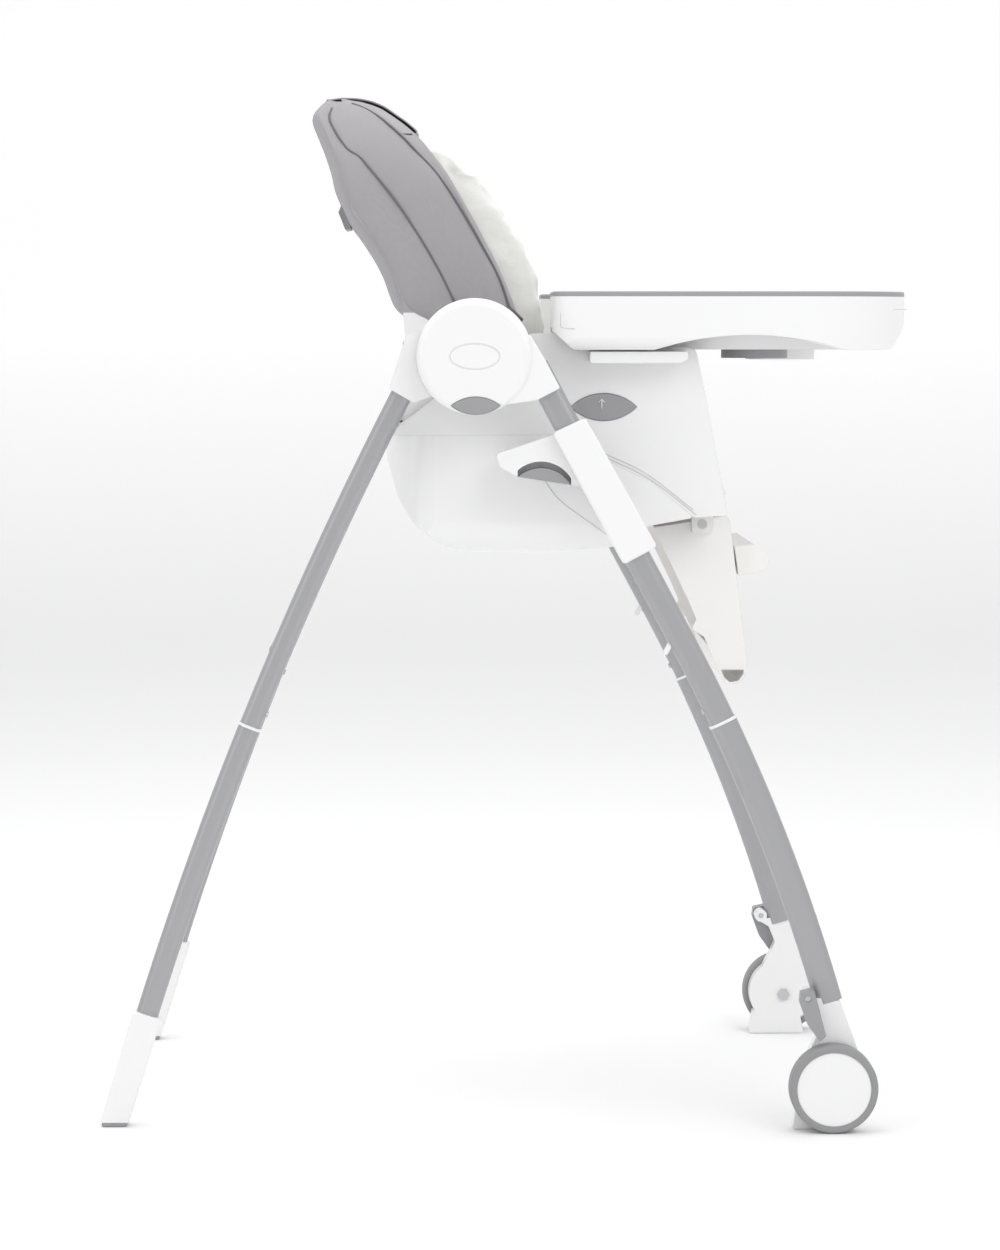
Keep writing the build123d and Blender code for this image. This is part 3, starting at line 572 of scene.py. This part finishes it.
def make_cover():
    """The grey fabric over the back of the seat, with its piping and the hem round its foot."""
    lines = [side_curve(line, ROWS) for line in (FRONT_EDGE, FRONT_SEAM, REAR_SEAM, REAR_EDGE)]
    make_cover_cloth(lines)
    make_piping(lines)
    make_hem([line[0] for line in lines])


def make_cover_cloth(lines):
    """Rolled front rim, side and rear panels, and the hood over the crest."""
    rows = [cover_row(*parts) for parts in zip(*lines)]
    columns = [HOOD_HALF * k / HOOD_COLUMNS for k in range(-HOOD_COLUMNS, HOOD_COLUMNS + 1)]
    hood_rows = [[at_width(p, x) for x in columns] for p in side_curve(HOOD, ROWS)]
    cover = join("back_cover_fabric", [grid("panels", rows), grid("hood", hood_rows)])
    subdivide(cover, 2)
    crease(cover, 0.0011, 14.0, (1.0, 1.6, 0.8))
    thicken(cover, COVER_THICKNESS)
    place(cover, "backrest", "grey_fabric", ["back_cover"])


def make_piping(lines):
    """Piping down both seams of each side."""
    pipes = []
    for line, x in ((lines[1], 0.1712), (lines[2], 0.1716)):
        for sign in (1, -1):
            points = [at_width(p, sign * x) for p in line[:-2]]
            pipes.append(cord_mesh("pipe", points, PIPING_RADIUS))
    place(join("back_cover_piping", pipes), "backrest", "dark_piping")


def make_hem(feet):
    """The bound hem round the foot of the cover; feet are where its four lines end."""
    hem = [at_width(foot, x) for foot, x in zip(feet, (0.154, 0.1712, 0.1705, 0.144))]
    hem += [at_width(feet[-1] + Vector((MIDDLE_BULGE, 0.0)), 0.0)]
    hem += [Vector((-p.x, p.y, p.z)) for p in reversed(hem[:-1])]
    cord = cord_mesh("back_cover_hem", even(hem, 120), HEM_RADIUS)
    place(cord, "backrest", "dark_piping")


# ---------------------------------------------------------------- cushions
PRESSURE = 4.0
SIM_FRAMES = 20
PUFF_CAP = 0.006                 # the most that the cloth may move
SLACK = 0.09                     # how much larger the cloth is than its form
VOXEL = 0.005                    # mesh size of a cushion
SEAM_HALF_WIDTH = 0.0026
BACK_SEAMS = (0.0, 0.092, 0.143)
SEAT_SEAMS = (0.055, 0.166)
SHELL_Y, SHELL_Z, SHELL_SLOPE = 0.045, 0.83, 0.45     # the plane where the back cushion lies
SEAT_UNDERSIDE_Z = 0.647


def start_shape(node_name, name, shrink):
    """A closed, evenly meshed copy of a CAD cushion, a little smaller than it."""
    obj = link(NODES[node_name].data.copy(), name)
    remesh = obj.modifiers.new("even", "REMESH")
    remesh.mode = "VOXEL"
    remesh.voxel_size = VOXEL
    apply_modifiers(obj)
    push(obj, lambda co: -shrink)
    smooth = obj.modifiers.new("smooth", "SMOOTH")
    smooth.iterations = 4
    smooth.factor = 0.5
    apply_modifiers(obj)
    return obj


def inflate(obj, held):
    """Cloth under pressure, held where it is sewn or lies on its shell; motion is capped."""
    rest = [v.co.copy() for v in obj.data.vertices]
    group = obj.vertex_groups.new(name="held")
    group.add([v.index for v in obj.data.vertices if held(v.co)], 1.0, "REPLACE")
    cloth = obj.modifiers.new("cloth", "CLOTH")
    settings = cloth.settings
    settings.quality = 5
    settings.mass = 0.25
    settings.tension_stiffness = 20
    settings.compression_stiffness = 20
    settings.shear_stiffness = 8
    settings.bending_stiffness = 0.4
    settings.use_pressure = True
    settings.uniform_pressure_force = PRESSURE
    settings.shrink_min = -SLACK
    settings.vertex_group_mass = "held"
    settings.effector_weights.gravity = 0
    cloth.point_cache.frame_start = 1
    cloth.point_cache.frame_end = SIM_FRAMES
    for frame_number in range(1, SIM_FRAMES + 1):
        bpy.context.scene.frame_set(frame_number)
    apply_modifiers(obj)
    bpy.context.scene.frame_set(1)
    for vert, before in zip(obj.data.vertices, rest):
        moved = vert.co - before
        if moved.length > PUFF_CAP:
            vert.co = before + moved * (PUFF_CAP / moved.length)
    obj.data.update()


def on_seam(co, seams):
    return any(abs(abs(co.x) - x) < SEAM_HALF_WIDTH for x in seams)


def back_pad_held(co):
    """Its middle, inner and side seams, and the side that lies on the shell."""
    return on_seam(co, BACK_SEAMS) or co.y > SHELL_Y + SHELL_SLOPE * (co.z - SHELL_Z)


def seat_pad_held(co):
    """Its inner and side seams, and the underside."""
    return on_seam(co, SEAT_SEAMS) or co.z < SEAT_UNDERSIDE_Z


def make_cushions():
    """Two quilted cushions, puffed up between their seams."""
    back = start_shape("back_pad", "back_cushion", 0.0015)
    seat = start_shape("seat_pad", "seat_cushion", 0.001)
    inflate(back, back_pad_held)
    inflate(seat, seat_pad_held)
    for obj, body, node_name in ((back, "backrest", "back_pad"), (seat, "seat", "seat_pad")):
        subdivide(obj)
        crease(obj, 0.0014, 24.0)
        place(obj, body, "cream_fabric", [node_name])


# ---------------------------------------------------------------- straps
def ribbon(name, points, over, width, thickness=0.0016):
    """A flat strap along a line; over is the direction of its width."""
    half, deep = width / 2, thickness / 2
    section = [(half, 0), (half - deep, deep), (half / 2, deep), (0, deep), (-half / 2, deep),
               (deep - half, deep), (-half, 0), (deep - half, -deep), (0, -deep), (half - deep, -deep)]
    rows = []
    for i, p in enumerate(points):
        up = over.cross(direction(points, i)).normalized()
        rows.append([p + over * a + up * b for a, b in section])
    rows = [[points[0]] * len(section)] + rows + [[points[-1]] * len(section)]
    return grid(name, rows, closed=True)


def stitches(points, over, offset, lift, length=0.0032, pitch=0.005):
    """A row of short threads beside the edge of a strap."""
    total = sum((b - a).length for a, b in zip(points, points[1:]))
    line = even(points, max(3, int(total / pitch)))
    made = []
    for a, b in zip(line, line[1:]):
        ahead = (b - a).normalized()
        up = over.cross(ahead).normalized()
        start = a + over * offset + up * lift
        thread = [start, start + ahead * length / 2, start + ahead * length]
        made.append(cord_mesh("thread", thread, THREAD_RADIUS, 5))
    return made


def side_line(points, x, count):
    return [Vector((x, p.x, p.y)) for p in side_curve(points, count)]


SHOULDER_LINE = [(60, 905), (43, 884), (17, 829), (-4, 758), (-12, 706), (-15, 692), (-28, 684),
                 (-60, 676), (-112, 680), (-140, 700)]
SHOULDER_POINTS = 60
BACKREST_POINTS = 36             # the stretch that lies on the back cushion and is made
CROTCH_LINE = [(-163, 667), (-158, 676), (-153, 690), (-150, 703)]
LAP_LINE = [(-0.158, -0.112, 0.676), (-0.12, -0.118, 0.685), (-0.07, -0.132, 0.695),
            (-0.023, -0.149, 0.71)]
SHOULDER_X = 0.047
SHOULDER_WIDTH, LAP_WIDTH, CROTCH_WIDTH = 0.026, 0.025, 0.032
STITCH_LIFT = 0.001
THREAD_RADIUS = 0.00035
ACROSS = Vector((1, 0, 0))


def make_straps():
    """A five-point harness: two shoulder straps, two lap straps and a crotch strap."""
    make_shoulder_straps()
    make_seat_straps()


def make_shoulder_straps():
    straps, threads = [], []
    for sign in (1, -1):
        line = side_line(SHOULDER_LINE, sign * SHOULDER_X, SHOULDER_POINTS)[:BACKREST_POINTS]
        straps.append(ribbon("shoulder", line, ACROSS, SHOULDER_WIDTH))
        for offset in (0.0105, -0.0105):
            threads += stitches(line, ACROSS, offset, STITCH_LIFT)
    straps = join("shoulder_webbing", straps)
    threads = join("shoulder_stitching", threads)
    place(straps, "backrest", "webbing", ["shoulder_straps"])
    place(threads, "backrest", "thread")


def make_seat_straps():
    straps, threads = [], []
    over = Vector((0, 0.45, 0.9)).normalized()
    for sign in (1, -1):
        points = even([Vector((sign * x, y, z)) for x, y, z in LAP_LINE], 30)
        straps.append(ribbon("lap", points, over, LAP_WIDTH))
        for offset in (0.010, -0.010):
            threads += stitches(points, over, offset, -sign * STITCH_LIFT)
    line = side_line(CROTCH_LINE, 0.0, 20)
    straps.append(ribbon("crotch", line, ACROSS, CROTCH_WIDTH))
    for offset in (0.0135, -0.0135):
        threads += stitches(line, ACROSS, offset, STITCH_LIFT)
    place(join("lap_webbing", straps), "seat", "webbing", ["lap_straps"])
    place(join("lap_stitching", threads), "seat", "thread")


# ---------------------------------------------------------------- small details
SEAT_WALL = 0.2052               # just outside the seat's side wall
TRAY_WALL = 0.2552


def seam_and_shade_line(name, points, x, radius, body):
    """A fine dark line along a moulding, drawn as a thin cord on both sides of the chair; it marks
    seams, and along the seat side's crease it is painted shade.
    """
    lines = [cord_mesh("line", side_line(points, sign * x, 48), radius, 6) for sign in (1, -1)]
    place(join(name, lines), body, "shadow_line")


# the curved crease on each seat side, drawn as a line of painted shade
SIDE_CREASE_SHADE = [(-34, 650), (-53, 625), (-81, 604), (-108, 586), (-132, 580)]
PANEL_SEAM = [(-99, 668), (-143, 646), (-190, 610)]
INNER_PANEL_SEAM = [(-95, 673), (-140, 651), (-187, 615)]
TRAY_CORNER_MARK = [(-52, 812), (-52, 800), (-54, 797), (-66, 796)]
TRAY_DASH = [(-380, 815), (-394, 815)]
SCREW_CENTRE = (101, 781)        # side-view place, on the backrest behind the hub
SCREW_FACE = 168.2
SCREW_RADIUS, SCREW_RISE = 3.2, 0.6
DISC_SIDES = 24
DOME = ((0.0, 1.0), (0.55, 0.9), (0.85, 0.55), (1.0, 0.0), (1.0, -1.0))     # reach, rise
BUTTON_CENTRE = (-95, 721)
BUTTON_FACE = 206.4
ARROW_SIZE = 4.6
ARROW_STROKE = 0.0007


def arrow_mark(name, centre, x, size):
    """A small raised arrow that points up, drawn as strokes in the plane at x."""
    y, z = centre
    lines = [
        [(y, z - size), (y, z + size)],
        [(y - size * 0.7, z + size * 0.35), (y, z + size), (y + size * 0.7, z + size * 0.35)],
    ]
    strokes = []
    for line in lines:
        points = [Vector((x, a, b)) / 1000 for a, b in line]
        strokes.append(cord_mesh("stroke", points, ARROW_STROKE, 6))
    return join(name, strokes)


def disc(name, centre, x, radius, depth, x_sign):
    """A shallow domed screw head or cap that faces outwards."""
    rows = []
    for reach, lift in DOME:
        rows.append([
            Vector((x_sign * (x + depth * lift), centre[0] + radius * reach * math.cos(a),
                    centre[1] + radius * reach * math.sin(a))) / 1000
            for a in round_angles(DISC_SIDES)
        ])
    return grid(name, rows, closed=True)


def make_details():
    """Panel lines on the mouldings, a line of painted shade along each seat side's curved crease, arrows
    on the side buttons, and screw heads.
    """
    seam_and_shade_line("side_crease_shade", SIDE_CREASE_SHADE, SEAT_WALL, 0.0004, "seat")
    seam_and_shade_line("panel_seams", PANEL_SEAM, SEAT_WALL, 0.0005, "seat")
    seam_and_shade_line("panel_seams_inner", INNER_PANEL_SEAM, SEAT_WALL, 0.0004, "seat")
    seam_and_shade_line("tray_corner_marks", TRAY_CORNER_MARK, TRAY_WALL, 0.0003, "tray")
    seam_and_shade_line("tray_dashes", TRAY_DASH, TRAY_WALL, 0.0005, "tray")
    for side, sign in (("l", 1), ("r", -1)):
        arrow = arrow_mark(f"button_arrow_{side}", BUTTON_CENTRE, sign * BUTTON_FACE, ARROW_SIZE)
        place(arrow, f"side_button_{side}", "white_plastic")
        screw = disc(f"hub_screw_{side}", SCREW_CENTRE, SCREW_FACE, SCREW_RADIUS, SCREW_RISE, sign)
        place(screw, "backrest", "pin_steel")


make_materials()
paint_nodes()
make_cover()
make_cushions()
make_straps()
make_details()
make_camera()
make_stage()
make_light()
